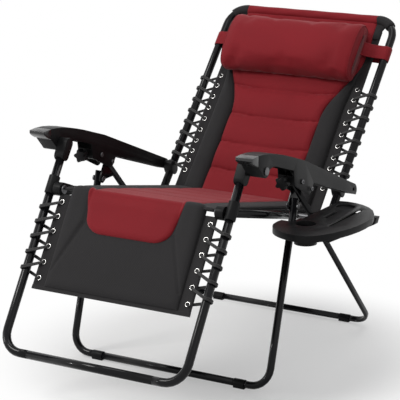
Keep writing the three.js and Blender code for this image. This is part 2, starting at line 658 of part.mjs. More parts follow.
function slot(x, y0, y1, half) {
  const shape = new THREE.Shape();
  shape.absarc(x, y1, half, 0, Math.PI, false);
  shape.absarc(x, y0, half, Math.PI, Math.PI * 2, false);
  shape.closePath();
  return shape;
}

function buildTray() {
  const cupX = 392;
  const cupY = -134;
  const plate = 4;
  const bottom = TRAY_TOP - TRAY_SKIRT;
  const at = (radius, z0, z1, x = cupX, y = cupY, sides = 32) => {
    const geometry = new THREE.CylinderGeometry(radius, radius, z1 - z0, sides);
    geometry.rotateX(Math.PI / 2);
    geometry.translate(x, y, (z0 + z1) / 2);
    return geometry;
  };
  const shell = cut(upward(trayOutline(0), bottom, TRAY_TOP, 8),
    upward(trayOutline(3), bottom - 5, TRAY_TOP - plate, 8));
  const withCup = join(shell, at(CUP_R, TRAY_TOP - CUP_DEPTH - 3, TRAY_TOP - 1),
    at(31, TRAY_TOP - 9, TRAY_TOP - 1, 405, 96));
  const tray = cut(withCup, at(CUP_R - 3, TRAY_TOP - CUP_DEPTH, TRAY_TOP + 5),
    at(28, TRAY_TOP - 5.5, TRAY_TOP + 5, 405, 96),
    upward(slot(460, -120, 82, 6), bottom - 5, TRAY_TOP + 5, 5),
    upward(slot(410, -44, 18, 6), bottom - 5, TRAY_TOP + 5, 5));
  place('side_tray', tray, FINISH.plastic);
  buildTraySupport(bottom);
}

/** Gusset under the tray that stands against the outer side of the rear leg. */
function buildTraySupport(trayBottom) {
  const face = REAR_LEG_X + REAR_LEG_THICK / 2 + 0.5;
  const lowZ = 368;
  const y = along(rearFoot, REAR_LEG_ANGLE,
    (lowZ + 12 - rearFoot[1]) / Math.sin(radians(REAR_LEG_ANGLE)))[0];
  const shape = new THREE.Shape();
  shape.moveTo(face, lowZ);
  shape.lineTo(face + 22, lowZ);
  shape.lineTo(500, trayBottom - 22);
  shape.lineTo(506, trayBottom - GAP);
  shape.lineTo(face + 30, trayBottom - GAP);
  shape.lineTo(face, lowZ + 40);
  shape.closePath();
  const geometry = new THREE.ExtrudeGeometry(shape, { depth: 26, bevelEnabled: false });
  geometry.rotateX(Math.PI / 2);
  geometry.translate(0, y + 13, 0);
  place('tray_support', geometry, FINISH.plastic);
}

buildBase();
buildSeatFrame();
buildPins();
buildLegRest();
buildBack();
buildPillow();
buildArmrests();
buildKnobs();
buildTray();

// The origin lies under the middle of the whole object, on the floor.
chair.updateMatrixWorld(true);
const middle = new THREE.Box3().setFromObject(chair).getCenter(new THREE.Vector3());
chair.position.set(-middle.x, -middle.y, 0);

export default chair;
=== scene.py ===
"""Looks for a folding zero gravity recliner: tubes, fittings, padded sling, lacing,
pillow, tray and studio."""
import json
import math

import bpy
from bpy.props import FloatProperty, FloatVectorProperty, PointerProperty
from mathutils import Matrix, Vector


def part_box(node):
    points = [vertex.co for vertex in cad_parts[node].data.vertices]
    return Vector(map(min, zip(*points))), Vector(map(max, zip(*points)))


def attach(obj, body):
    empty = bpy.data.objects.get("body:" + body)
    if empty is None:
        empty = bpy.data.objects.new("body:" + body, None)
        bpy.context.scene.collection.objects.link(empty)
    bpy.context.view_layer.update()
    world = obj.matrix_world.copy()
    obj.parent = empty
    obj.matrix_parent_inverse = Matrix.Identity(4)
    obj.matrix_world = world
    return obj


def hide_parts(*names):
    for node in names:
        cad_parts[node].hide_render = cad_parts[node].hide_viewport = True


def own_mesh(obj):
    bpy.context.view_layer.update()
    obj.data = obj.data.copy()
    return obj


bl_info = {
    "name": "Zero Gravity Recliner",
    "version": (1, 0, 0),
    "blender": (4, 5, 0),
    "location": "View3D > Sidebar > Recliner",
    "description": "Builds the looks of a folding zero gravity recliner around its frame",
    "category": "Add Mesh",
}

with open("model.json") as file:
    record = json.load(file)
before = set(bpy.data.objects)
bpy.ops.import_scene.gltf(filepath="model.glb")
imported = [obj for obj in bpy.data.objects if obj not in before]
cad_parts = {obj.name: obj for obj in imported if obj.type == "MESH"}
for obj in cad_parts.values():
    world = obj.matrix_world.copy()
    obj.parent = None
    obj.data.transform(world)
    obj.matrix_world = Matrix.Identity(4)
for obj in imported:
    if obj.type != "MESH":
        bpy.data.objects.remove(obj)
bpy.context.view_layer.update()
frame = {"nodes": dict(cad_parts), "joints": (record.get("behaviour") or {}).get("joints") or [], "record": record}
JOINTS = {joint["name"]: joint for joint in frame["joints"]}
SIDES = ((1, "right"), (-1, "left"))


def middle_of(node):
    """Centre of a node's box."""
    low, high = (Vector(corner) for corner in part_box(node))
    return (low + high) / 2


MID = (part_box("back_tube_left")[0][0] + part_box("back_tube_right")[1][0]) / 2
KNEE = Vector(JOINTS["knee_fold"]["pos_m"])
HIP = Vector(JOINTS["hip_fold"]["pos_m"])
TUBE_X = 0.300
TUBE_R = 0.0125


class Plane:
    """Side view plane of the sling: s runs along it, t stands off it towards the sitter."""

    def __init__(self, start, end, turn):
        run = Vector((end.y - start.y, end.z - start.z))
        self.length = run.length
        self.run = run.normalized()
        self.out = Vector((-self.run.y, self.run.x)) * turn
        self.start = start

    def at(self, x, s, t):
        """Place in the shared frame, with x measured from the chair's middle."""
        return Vector((MID + x, self.start.y + self.run.x * s + self.out.x * t,
                       self.start.z + self.run.y * s + self.out.y * t))

    def turned(self, x, s, angle, radius):
        """Place on a roll round the line at s, turned back from the outward side."""
        return self.at(x, s - radius * math.sin(angle), radius * math.cos(angle))


LEG = Plane(KNEE, middle_of("foot_bar"), -1)
SEAT_END = Vector((0.0, HIP.y + 0.005, HIP.z + 0.052))
SEAT = Plane(KNEE, SEAT_END, 1)
BACK = Plane(HIP, middle_of("back_top_bar"), 1)


# ---------- sizes and colours a user may change ----------
class ReclinerSizes(bpy.types.PropertyGroup):
    pad_half: FloatProperty(
        name="Padded half width", default=0.222, unit="LENGTH",
        description="From the middle of the chair to the seam of the eyelet strip")
    sheet_half: FloatProperty(
        name="Sling half width", default=0.262, unit="LENGTH",
        description="From the middle of the chair to the sling's edge")
    knee_roll: FloatProperty(
        name="Knee roll", default=0.013, unit="LENGTH",
        description="Radius of the padded roll round the knee pivot")
    quilt_depth: FloatProperty(
        name="Quilt depth", default=0.017, unit="LENGTH",
        description="How far the quilted panels stand off the sling")
    pillow_depth: FloatProperty(
        name="Pillow depth", default=0.082, unit="LENGTH",
        description="Thickness of the head pillow")
    cord_radius: FloatProperty(
        name="Cord radius", default=0.0028, unit="LENGTH",
        description="Radius of the elastic lacing cord")


class ReclinerColours(bpy.types.PropertyGroup):
    red: FloatVectorProperty(
        name="Red cloth", subtype="COLOR", size=3, default=(0.200, 0.0085, 0.014),
        description="Colour of the red woven cloth")
    black: FloatVectorProperty(
        name="Black cloth", subtype="COLOR", size=3, default=(0.019, 0.018, 0.019),
        description="Colour of the charcoal woven cloth")
    paint: FloatVectorProperty(
        name="Tube paint", subtype="COLOR", size=3, default=(0.006, 0.006, 0.007),
        description="Colour of the gloss powder coat")
    plastic: FloatVectorProperty(
        name="Moulded plastic", subtype="COLOR", size=3, default=(0.0075, 0.0075, 0.0080),
        description="Colour of the satin moulded plastic")
    floor: FloatVectorProperty(
        name="Floor", subtype="COLOR", size=3, default=(0.90, 0.90, 0.90),
        description="Colour of the studio floor")


def sizes():
    """Sizes set in the scene."""
    return bpy.context.scene.recliner_sizes


def colours():
    """Colours set in the scene."""
    return bpy.context.scene.recliner_colours


# ---------- materials ----------
class Link:
    """A shader output that Python arithmetic works on."""

    def __init__(self, nodes, socket):
        self.nodes = nodes
        self.socket = socket

    def math(self, operation, *others):
        return self.nodes.add("ShaderNodeMath", {"operation": operation}, self, *others)

    def __add__(self, other):
        return self.math("ADD", other)

    __radd__ = __add__

    def __sub__(self, other):
        return self.math("SUBTRACT", other)

    def __rsub__(self, other):
        return self.nodes.add("ShaderNodeMath", {"operation": "SUBTRACT"}, other, self)

    def __mul__(self, other):
        return self.math("MULTIPLY", other)


class Nodes:
    """A node tree, and the ways to add to it."""

    def __init__(self, tree):
        self.tree = tree

    def add(self, kind, settings, *values, **named):
        """Adds a node with its settings and its sockets' values or links; gives its first output."""
        node = self.tree.nodes.new(kind)
        for key, value in settings.items():
            setattr(node, key, value)
        for index, value in enumerate(values):
            self.put(node.inputs[index], value)
        for key, value in named.items():
            self.put(node.inputs[key.replace("_", " ")], value)
        outputs = [o for o in node.outputs if o.enabled]
        return Link(self, outputs[0])

    def put(self, socket, value):
        """Links a value that is a Link, and sets any other."""
        if isinstance(value, Link):
            self.tree.links.new(value.socket, socket)
        else:
            socket.default_value = value

    def rays(self, first, *others):
        """1 where a ray is of one of the kinds."""
        outputs = self.tree.nodes.new("ShaderNodeLightPath").outputs
        seen = Link(self, outputs[f"Is {first} Ray"])
        for kind in others:
            seen = seen.math("MAXIMUM", Link(self, outputs[f"Is {kind} Ray"]))
        return seen


class Finish(Nodes):
    """One procedural material and the nodes in it."""

    def __init__(self, name):
        self.material = bpy.data.materials.new(name)
        self.material.use_nodes = True
        super().__init__(self.material.node_tree)
        self.shader = self.tree.nodes["Principled BSDF"]

    def set(self, **values):
        """Sets the main shader's sockets."""
        for key, value in values.items():
            self.put(self.shader.inputs[key.replace("_", " ")], value)

    def part(self, vector, index):
        """One number of a vector link."""
        node = self.tree.nodes.new("ShaderNodeSeparateXYZ")
        self.put(node.inputs[0], vector)
        return Link(self, node.outputs[index])

    def place(self):
        """The piece's own coordinates, in metres."""
        node = self.tree.nodes.new("ShaderNodeTexCoord")
        return Link(self, node.outputs["Object"])

    def cloth_place(self):
        """Coordinates that follow the cloth, in metres."""
        return self.add("ShaderNodeUVMap", {"uv_map": "cloth"})

    def noise(self, scale, detail=2.0, roughness=0.5):
        return self.add("ShaderNodeTexNoise", {}, Vector=self.place(), Scale=scale,
                        Detail=detail, Roughness=roughness)

    def mix(self, factor, first, second):
        """Colour mix of two colours or links."""
        node = self.tree.nodes.new("ShaderNodeMix")
        node.data_type = "RGBA"
        for key, value in ((0, factor), (6, first), (7, second)):
            self.put(node.inputs[key], value)
        return Link(self, node.outputs[2])

    def bump(self, height, strength, distance):
        return self.add("ShaderNodeBump", {}, Height=height, Strength=strength, Distance=distance)


def rgba(colour, gain=1.0):
    return (*(min(c * gain, 1.0) for c in colour), 1.0)


def cloth_finish(name, colour, pitch, rough, sheen, relief):
    """Plain woven cloth: threads over and under at the given pitch, with slubs and soft fading."""
    finish = Finish(name)
    place = finish.cloth_place()
    across = (finish.part(place, 0) * (math.pi / pitch)).math("SINE")
    down = (finish.part(place, 1) * (math.pi / pitch)).math("SINE")
    weave = (across * down) * 0.5 + 0.5
    slub = finish.noise(260.0, 2.0)
    fade = finish.noise(7.0, 3.0)
    tone = weave * 0.30 + slub * 0.35 + fade * 0.5
    base = finish.mix(tone, rgba(colour, 0.72), rgba(colour, 1.32))
    relief_height = weave * 0.7 + slub * 0.5
    finish.set(Base_Color=base, Roughness=rough + (slub - 0.5) * 0.12,
               Normal=finish.bump(relief_height, relief, 0.0006))
    finish.set(Sheen_Weight=sheen, Sheen_Roughness=0.45, Specular_IOR_Level=0.18)
    finish.shader.inputs["Sheen Tint"].default_value = rgba([0.5 + 0.5 * c for c in colour])
    return finish.material


def paint_finish():
    """Gloss powder coat with slight orange peel and scuffed patches."""
    finish = Finish("gloss_paint")
    patch = finish.noise(9.0, 4.0, 0.6)
    peel = finish.noise(420.0, 2.0)
    base = finish.mix(patch, rgba(colours().paint, 0.8), rgba(colours().paint, 1.5))
    finish.set(Base_Color=base, Roughness=0.13 + patch * 0.16, Normal=finish.bump(peel, 0.06, 0.0008),
               Metallic=0.0, Specular_IOR_Level=0.08, Coat_Weight=0.16, Coat_Roughness=0.05)
    return finish.material


def plastic_finish(name, rough, grain, shine):
    """Moulded plastic with a fine spark-eroded grain."""
    finish = Finish(name)
    cloud = finish.noise(14.0, 3.0)
    speck = finish.noise(900.0, 2.0, 0.6)
    base = finish.mix(cloud, rgba(colours().plastic, 0.75), rgba(colours().plastic, 1.6))
    finish.set(Base_Color=base, Roughness=rough + (cloud - 0.5) * 0.16,
               Normal=finish.bump(speck, grain, 0.0005), Specular_IOR_Level=shine)
    return finish.material


def metal_finish(name, colour, rough):
    """Plated metal with faint draw marks."""
    finish = Finish(name)
    marks = finish.noise(300.0, 3.0)
    finish.set(Base_Color=finish.mix(marks, rgba(colour, 0.85), rgba(colour, 1.05)), Metallic=1.0,
               Roughness=rough + marks * 0.15, Normal=finish.bump(marks, 0.05, 0.0005))
    return finish.material


def cord_finish():
    """Braided elastic cord: short crossed strands with a few lighter threads."""
    finish = Finish("braided_cord")
    cell = finish.add("ShaderNodeTexVoronoi", {"feature": "F1"}, Vector=finish.place(), Scale=620.0)
    tone = finish.noise(500.0, 2.0)
    finish.set(Base_Color=finish.mix(tone, rgba((0.006, 0.006, 0.006)), rgba((0.030, 0.029, 0.030))),
               Roughness=0.62 + tone * 0.2, Normal=finish.bump(1 - cell, 0.5, 0.0008))
    return finish.material


FINISHES = {}


def finish_for(name):
    """Makes each material once."""
    makers = {
        "red_cloth": lambda: cloth_finish("red_cloth", colours().red, 0.0016, 0.74, 0.22, 0.35),
        "black_cloth": lambda: cloth_finish("black_cloth", colours().black, 0.0018, 0.80, 0.10, 0.45),
        "black_mesh": lambda: cloth_finish("black_mesh", colours().black, 0.0030, 0.76, 0.10, 0.60),
        "gloss_paint": paint_finish,
        "satin_plastic": lambda: plastic_finish("satin_plastic", 0.40, 0.18, 0.09),
        "gloss_plastic": lambda: plastic_finish("gloss_plastic", 0.22, 0.03, 0.60),
        "steel": lambda: metal_finish("zinc_steel", (0.55, 0.56, 0.57), 0.26),
        "dark_steel": lambda: metal_finish("dark_steel", (0.13, 0.13, 0.135), 0.34),
        "nickel": lambda: metal_finish("nickel", (0.78, 0.77, 0.75), 0.14),
        "braided_cord": cord_finish,
    }
    if name not in FINISHES:
        FINISHES[name] = makers[name]()
    return FINISHES[name]


# ---------- modelling helpers ----------
def linked(name, data):
    """A new object for the data, in the scene."""
    obj = bpy.data.objects.new(name, data)
    bpy.context.scene.collection.objects.link(obj)
    return obj


def deselect():
    bpy.ops.object.select_all(action="DESELECT")


def choose(obj):
    """Makes one object active and the only one selected."""
    deselect()
    obj.select_set(True)
    bpy.context.view_layer.objects.active = obj


def settle(obj):
    """Puts the object's place into its mesh."""
    choose(obj)
    bpy.ops.object.transform_apply(location=True, rotation=True, scale=True)


def apply_all(obj):
    choose(obj)
    for item in list(obj.modifiers):
        bpy.ops.object.modifier_apply(modifier=item.name)


def modifier(obj, kind, **values):
    made = obj.modifiers.new(kind.lower(), kind)
    for key, value in values.items():
        setattr(made, key, value)
    return made


def outward(obj, merge=True):
    """Turns every face outwards, after merging doubled points if asked."""
    choose(obj)
    bpy.ops.object.mode_set(mode="EDIT")
    bpy.ops.mesh.select_all(action="SELECT")
    if merge:
        bpy.ops.mesh.remove_doubles(threshold=0.00002)
    bpy.ops.mesh.normals_make_consistent(inside=False)
    bpy.ops.object.mode_set(mode="OBJECT")


def dress(obj, material, body):
    """Gives a finished piece its material and slot, and lets it ride on its body."""
    obj.data.name = obj.name
    obj.data.materials.clear()
    obj.data.materials.append(finish_for(material))
    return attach(obj, body)


def smooth(obj, degrees=38):
    choose(obj)
    bpy.ops.object.shade_smooth_by_angle(angle=math.radians(degrees))


BODIES = frame["record"]["behaviour"]["bodies"]
BODY_OF = {node: body for body, nodes in BODIES.items() for node in nodes}


def softened(node, material, bevel=0.0, degrees=38):
    """A finer copy of a rigid node: points merged, flat faces joined, edges rounded, shaded smooth."""
    obj = linked(node + "_finished", frame["nodes"][node].data.copy())
    outward(obj)
    if bevel:
        bpy.ops.object.mode_set(mode="EDIT")
        bpy.ops.mesh.select_all(action="SELECT")
        bpy.ops.mesh.dissolve_limited(angle_limit=math.radians(1.5))
        bpy.ops.object.mode_set(mode="OBJECT")
        modifier(obj, "BEVEL", width=bevel, segments=3, limit_method="ANGLE",
                 angle_limit=math.radians(34), use_clamp_overlap=True, miter_outer="MITER_ARC")
        apply_all(obj)
    smooth(obj, degrees)
    dress(obj, material, BODY_OF[node])
    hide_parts(node)


def skin(name, rings):
    """Closed skin through rings of places, its end rings filled, with a map in metres."""
    count = len(rings[0])
    points = [p for ring in rings for p in ring]
    faces = []
    for i in range(len(rings) - 1):
        for j in range(count):
            k = (j + 1) % count
            faces.append((i * count + j, i * count + k, (i + 1) * count + k, (i + 1) * count + j))
    faces.append(tuple(reversed(range(count))))
    faces.append(tuple(range((len(rings) - 1) * count, len(rings) * count)))
    mesh = bpy.data.meshes.new(name)
    mesh.from_pydata(points, [], faces)
    obj = linked(name, mesh)
    along = [0.0]
    reference = rings[len(rings) // 2]
    for j in range(1, count):
        along.append(along[-1] + (reference[j] - reference[j - 1]).length)
    layer = mesh.uv_layers.new(name="cloth")
    for loop in mesh.loops:
        ring, j = divmod(loop.vertex_index, count)
        layer.data[loop.index].uv = (points[loop.vertex_index].x, along[j])
    outward(obj, merge=False)
    bpy.ops.object.shade_smooth()
    return obj


def ease(value):
    """Smooth step from 0 to 1."""
    value = min(max(value, 0.0), 1.0)
    return value * value * (3 - 2 * value)


def dome(distance, width):
    """Quarter-round rise from a seam, 0 at the seam and 1 from the given width on."""
    k = 1 - min(max(distance / width, 0.0), 1.0)
    return math.sqrt(max(1 - k * k, 0.0))


def stations(low, high, step, seams=()):
    """Places from low to high at about the step, closer together at each seam."""
    count = max(int(round((high - low) / step)), 2)
    places = {round(low + (high - low) * i / count, 6) for i in range(count + 1)}
    for seam in list(seams) + [low, high]:
        for off in (-0.006, -0.003, -0.0012, 0.0, 0.0012, 0.003, 0.006):
            if low <= seam + off <= high:
                places.add(round(seam + off, 6))
    ordered = sorted(places)
    kept = [ordered[0]]
    for place in ordered[1:]:
        if place - kept[-1] > 0.0007:
            kept.append(place)
    return kept


def between(table, value):
    """Smooth interpolation in a short table of (place, width) pairs."""
    if value <= table[0][0]:
        return table[0][1]
    for (a, wa), (b, wb) in zip(table, table[1:]):
        if value <= b:
            return wa + (wb - wa) * ease((value - a) / (b - a))
    return table[-1][1]


# ---------- padded sling ----------
def panel(name, plane, left, right, low, high, front, back, seams=(), roll=None, across=34):
    """Padded panel between two edges that may curve: left(s) and right(s) give its edges at each place,
    front(k, s, x) and back its two faces; roll adds a turn of (angle, radius) round the line at s = 0."""
    rows = stations(low, high, 0.0065, seams)
    rings = []
    columns = [0.5 - 0.5 * math.cos(math.pi * i / across) for i in range(across + 1)]
    columns = [0.55 * c + 0.45 * i / across for i, c in enumerate(columns)]
    for k in columns:
        ring = []
        if roll:
            angle, steps = roll
            x = left(low) + (right(low) - left(low)) * k
            radius = front(k, low, x)
            for i in range(steps, 0, -1):
                ring.append(plane.turned(x, low, angle * i / steps, radius))
        for s in rows:
            x = left(s) + (right(s) - left(s)) * k
            ring.append(plane.at(x, s, front(k, s, x)))
        for s in reversed(rows):
            x = left(s) + (right(s) - left(s)) * k
            ring.append(plane.at(x, s, back(k, s, x)))
        rings.append(ring)
    return skin(name, rings)


def pucker(x, s, seam, pitch, reach):
    """Small gathers that run out from a sewn line."""
    gap = abs(s - seam)
    return math.exp(-gap / reach) * math.sin(math.tau * x / pitch + 1.7 * math.sin(41 * x + 23 * seam))


def puff(obj, pinned, pressure, cap):
    """Lets the free face of a padded panel swell and wrinkle as cloth, within a cap."""
    rest = [v.co.copy() for v in obj.data.vertices]
    group = obj.vertex_groups.new(name="sewn")
    for index, weight in pinned:
        group.add([index], weight, "REPLACE")
    cloth = modifier(obj, "CLOTH")
    settings = cloth.settings
    settings.quality = 4
    settings.mass = 0.15
    settings.tension_stiffness = 12
    settings.compression_stiffness = 8
    settings.shear_stiffness = 4
    settings.bending_stiffness = 0.3
    settings.use_pressure = True
    settings.uniform_pressure_force = pressure
    settings.shrink_min = -0.02
    settings.vertex_group_mass = "sewn"
    settings.effector_weights.gravity = 0.0
    cloth.collision_settings.use_collision = False
    scene = bpy.context.scene
    for number in range(1, 15):
        scene.frame_set(number)
    apply_all(obj)
    scene.frame_set(1)
    for vertex, home in zip(obj.data.vertices, rest):
        move = vertex.co - home
        if move.length > cap:
            vertex.co = home + move * (cap / move.length)
    obj.vertex_groups.clear()


def sheet_piece(name, plane, half, low, high, body, hem_low, hem_high):
    """Flat laced cloth under the padding, with a rolled hem."""
    rows = stations(low, high, 0.02, (low + 0.012, high - 0.012))
    top = 0.001
    thick = 0.0015

    def swell(s, x):
        hem = 0.0012 * (dome(half - abs(x), 0.001) if half - abs(x) < 0.010 else 0)
        if hem_low and s < low + 0.012 or hem_high and s > high - 0.012:
            hem = 0.0014
        return hem

    columns = sorted({round(v, 5) for v in [half * (i / 12 * 2 - 1) for i in range(13)]
                      + [side * (half - off) for side in (-1, 1) for off in (0.0012, 0.009, 0.0105)]})
    rings = []
    for x in columns:
        front = [plane.at(x, s, top + swell(s, x)) for s in rows]
        rear = [plane.at(x, s, top - 2 * thick - swell(s, x)) for s in reversed(rows)]
        rings.append(front + rear)
    obj = skin(name, rings)
    smooth(obj, 50)
    dress(obj, "black_mesh", body)
    return obj


class RECLINER_OT_leg_pad(bpy.types.Operator):
    """Leg rest cloth: black padded panel with sewn diagonals, red tongue over the knee"""

    bl_idname = "recliner.leg_pad"
    bl_label = "Leg Rest Pad"

    def execute(self, context):
        half = sizes().pad_half
        roll = sizes().knee_roll
        low, high = 0.0, 0.292
        knee_turn = (math.radians(96), 12)
        sheet = sheet_piece("leg_sheet", LEG, sizes().sheet_half, 0.014, 0.302, "leg_rest", False, True)

        (top_x, top_s), (foot_x, foot_s) = (0.150, 0.090), (0.214, 0.245)
        seam_x, seam_s = foot_x - top_x, foot_s - top_s

        def diagonal(s, x):
            """Distance to the sewn line that runs from beside the tongue to the lower outer corner."""
            size = math.hypot(seam_x, seam_s)
            k = ((abs(x) - top_x) * seam_x + (s - top_s) * seam_s) / size
            side = abs((abs(x) - top_x) * seam_s - (s - top_s) * seam_x) / size
            return side if 0 <= k <= size else side + max(-k, k - size)

        def bolster(s, x):
            """The stuffed roll that runs down each side, outside the sewn diagonal."""
            inside = top_x + seam_x * max(s - top_s, 0.0) / seam_s
            return 0.0075 * dome(max(abs(x) - inside, 0.0), 0.022) * (1 - ease(s / 0.30))

        def front(k, s, x):
            fall = roll - 0.0012 - 0.0020 * ease(s / 0.055) + bolster(s, x)
            edge = dome(half - abs(x), 0.026)
            end = dome(high - s, 0.022)
            groove = 1 - 0.42 * math.exp(-(diagonal(s, x) / 0.0036) ** 2)
            return 0.002 + (fall - 0.002) * edge * end * groove

        black = panel("leg_pad_black", LEG, lambda s: -half, lambda s: half, low, high, front,
                      lambda k, s, x: -0.0018, (top_s, foot_s), knee_turn, across=76)
        dress(black, "black_mesh", "leg_rest")
        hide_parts("leg_pad")

        reach = 0.118
        corner = 0.040

        def edge_at(s):
            """Half width of the tongue, whose lower corners are round."""
            width = 0.161 - 0.22 * s
            if s > reach - corner:
                drop = (s - (reach - corner)) / corner
                width -= corner * 1.25 * (1 - math.sqrt(max(1 - drop * drop, 0.0)))
            return width

        def rise(k, s, x):
            side = dome(min(k, 1 - k) * 2 * edge_at(s), 0.020)
            end = dome(reach - s, 0.020)
            under = front(k, s, x)
            thin = 0.45 + 0.55 * ease(s / 0.03)
            return max(under - 0.002, 0.001) + (0.0088 * side * end + 0.0012) * thin

        tongue = panel("leg_pad_red", LEG, lambda s: -edge_at(s), edge_at, 0.0, reach, rise,
                       lambda k, s, x: front(k, s, x) - 0.006, (), knee_turn, across=60)
        dress(tongue, "red_cloth", "leg_rest")
        return {"FINISHED"}


class RECLINER_OT_seat_pad(bpy.types.Operator):
    """Seat cloth: red middle that widens over the knee roll, black padded wings"""

    bl_idname = "recliner.seat_pad"
    bl_label = "Seat Pad"

    def execute(self, context):
        roll = sizes().knee_roll
        length = SEAT.length
        sheet = sheet_piece("seat_sheet", SEAT, 0.2535, 0.016, length - 0.014, "seat_frame", False, False)
        self.gives_way(sheet)
        turn = math.acos(max(min(LEG.out.dot(SEAT.out), 1), -1))
        inner = [(0.0, 0.161), (0.06, 0.168), (0.16, 0.166), (length, 0.160)]
        seams = (0.130, 0.250, 0.370, 0.480)

        def red_front(k, s, x):
            width = between(inner, s)
            side = dome(width - abs(x), 0.020)
            fall = roll + 0.004 * ease(s / 0.10)
            quilt = 1.0
            for seam in seams:
                quilt *= 0.72 + 0.28 * dome(abs(s - seam), 0.034)
            gathers = sum(pucker(x, s, seam, 0.024, 0.010) for seam in seams) * 0.0004
            return 0.004 + (fall - 0.004) * (0.45 + 0.55 * side) * quilt + gathers * side

        red = panel("seat_pad_red", SEAT, lambda s: -between(inner, s), lambda s: between(inner, s), 0.0,
                    length - 0.004, red_front, lambda k, s, x: -0.0018, seams, (turn + 0.05, 12), across=60)
        dress(red, "red_cloth", "seat_frame")
        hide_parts("seat_pad")
        self.gives_way(red)
        for sign, side in SIDES:
            outer = 0.248

            def near(s):
                return between(inner, s) - 0.002

            def wing_front(k, s, x):
                wide = outer - near(s)
                across = dome(min(k, 1 - k) * wide, 0.026)
                fall = roll - 0.001 + 0.004 * ease(s / 0.10)
                return 0.003 + (fall - 0.003) * (0.40 + 0.60 * across)

            wing = panel("seat_wing_" + side, SEAT, lambda s: sign * near(s), lambda s: sign * outer,
                         0.0, length - 0.008, wing_front, lambda k, s, x: -0.001, (),
                         (turn + 0.02, 12), across=22)
            dress(wing, "black_cloth", "seat_frame")
            self.gives_way(wing)
        return {"FINISHED"}

    def gives_way(self, obj):
        """Gives the piece a mesh of its own, unshared with other objects."""
        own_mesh(obj)


class RECLINER_OT_back_pad(bpy.types.Operator):
    """Back cloth: quilted red middle that widens to the top, black puffed wings, flat eyelet strips"""

    bl_idname = "recliner.back_pad"
    bl_label = "Back Pad"

    def execute(self, context):
        half = sizes().pad_half
        depth = sizes().quilt_depth
        top = BACK.length - 0.012
        sheet = sheet_piece("back_sheet", BACK, sizes().sheet_half, 0.012, top - 0.030, "back_frame",
                            True, False)
        seams = (0.153, 0.249, 0.355, 0.457, 0.560)

        def red_half(s):
            """Half width of the red middle, which spreads out under the pillow."""
            return 0.160 + 0.078 * ease((s - 0.36) / 0.24)

        def bow(x):
            """The sewn lines sag a little in the middle."""
            return 0.010 * (1 - (x / 0.17) ** 2)

        def red_front(k, s, x):
            width = red_half(s)
            side = dome(width - abs(x), 0.026)
            quilt = 1.0
            gathers = 0.0
            for seam in seams:
                line = seam - bow(x) if seam < 0.5 else seam
                quilt *= 0.18 + 0.82 * dome(abs(s - line), 0.046)
                gathers += pucker(x, s, line, 0.026, 0.012) * 0.0006
            thin = 1 - 0.55 * ease((s - 0.60) / 0.06)
            end = dome(top - s, 0.012)
            return 0.0025 + (depth * quilt * side * end + gathers * side) * thin

        red = panel("back_pad_red", BACK, lambda s: -red_half(s), red_half, 0.022, top,
                    red_front, lambda k, s, x: -0.0018, seams, None, across=70)
        dress(red, "red_cloth", "back_frame")
        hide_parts("back_pad")
        outer = [(0.0, half + 0.004), (0.42, half), (0.575, 0.236), (0.60, 0.237)]
        for sign, side in SIDES:
            low, high = 0.018, 0.585

            def near(s):
                return red_half(s) - 0.003

            def wing_front(k, s, x):
                wide = between(outer, s) - near(s)
                across = dome(min(k, 1 - k) * wide, 0.030)
                ends = dome(s - low, 0.05) * dome(high - s, 0.05)
                return 0.002 + 0.0225 * across * ends * min(wide / 0.05, 1)

            wing = panel("back_wing_" + side, BACK, lambda s: sign * near(s),
                         lambda s: sign * between(outer, s), low, high, wing_front,
                         lambda k, s, x: -0.001, (), None, across=24)
            dress(wing, "black_cloth", "back_frame")
        return {"FINISHED"}


# ---------- head pillow, straps and sleeve ----------
def tube_skin(name, places, radius, sides=10, closed=False):
    """Round cord along places, as a mesh made from a bevelled curve."""
    curve = bpy.data.curves.new(name, "CURVE")
    curve.dimensions = "3D"
    curve.bevel_depth = radius
    curve.bevel_resolution = max(sides // 4, 1)
    curve.use_fill_caps = not closed
    spline = curve.splines.new("POLY")
    spline.points.add(len(places) - 1)
    for point, place in zip(spline.points, places):
        point.co = (*place, 1.0)
    spline.use_cyclic_u = closed
    spline.use_smooth = True
    choose(linked(name, curve))
    bpy.ops.object.convert(target="MESH")
    obj = bpy.context.object
    obj.data.uv_layers.new(name="cloth")
    outward(obj)
    bpy.ops.object.shade_smooth()
    return obj


def pillow_ring(x, low, high, depth, base, shrink):
    """Rounded D section of the pillow, drawn in by shrink on every side."""
    middle = (low + high) / 2
    tall = (high - low) / 2 - shrink
    ring = []
    count = 56
    for i in range(count):
        a = math.tau * i / count
        c, s = math.cos(a), math.sin(a)
        power = 0.62 if s > 0 else 0.34
        along = math.copysign(abs(c) ** 0.72, c) * tall
        off = math.copysign(abs(s) ** power, s)
        height = depth * 0.5 + off * (depth * 0.5 - shrink)
        if s > 0:
            height -= 0.10 * depth * (along / tall) ** 2
        ring.append((x, middle + along, base + max(height, 0.0)))
    return ring


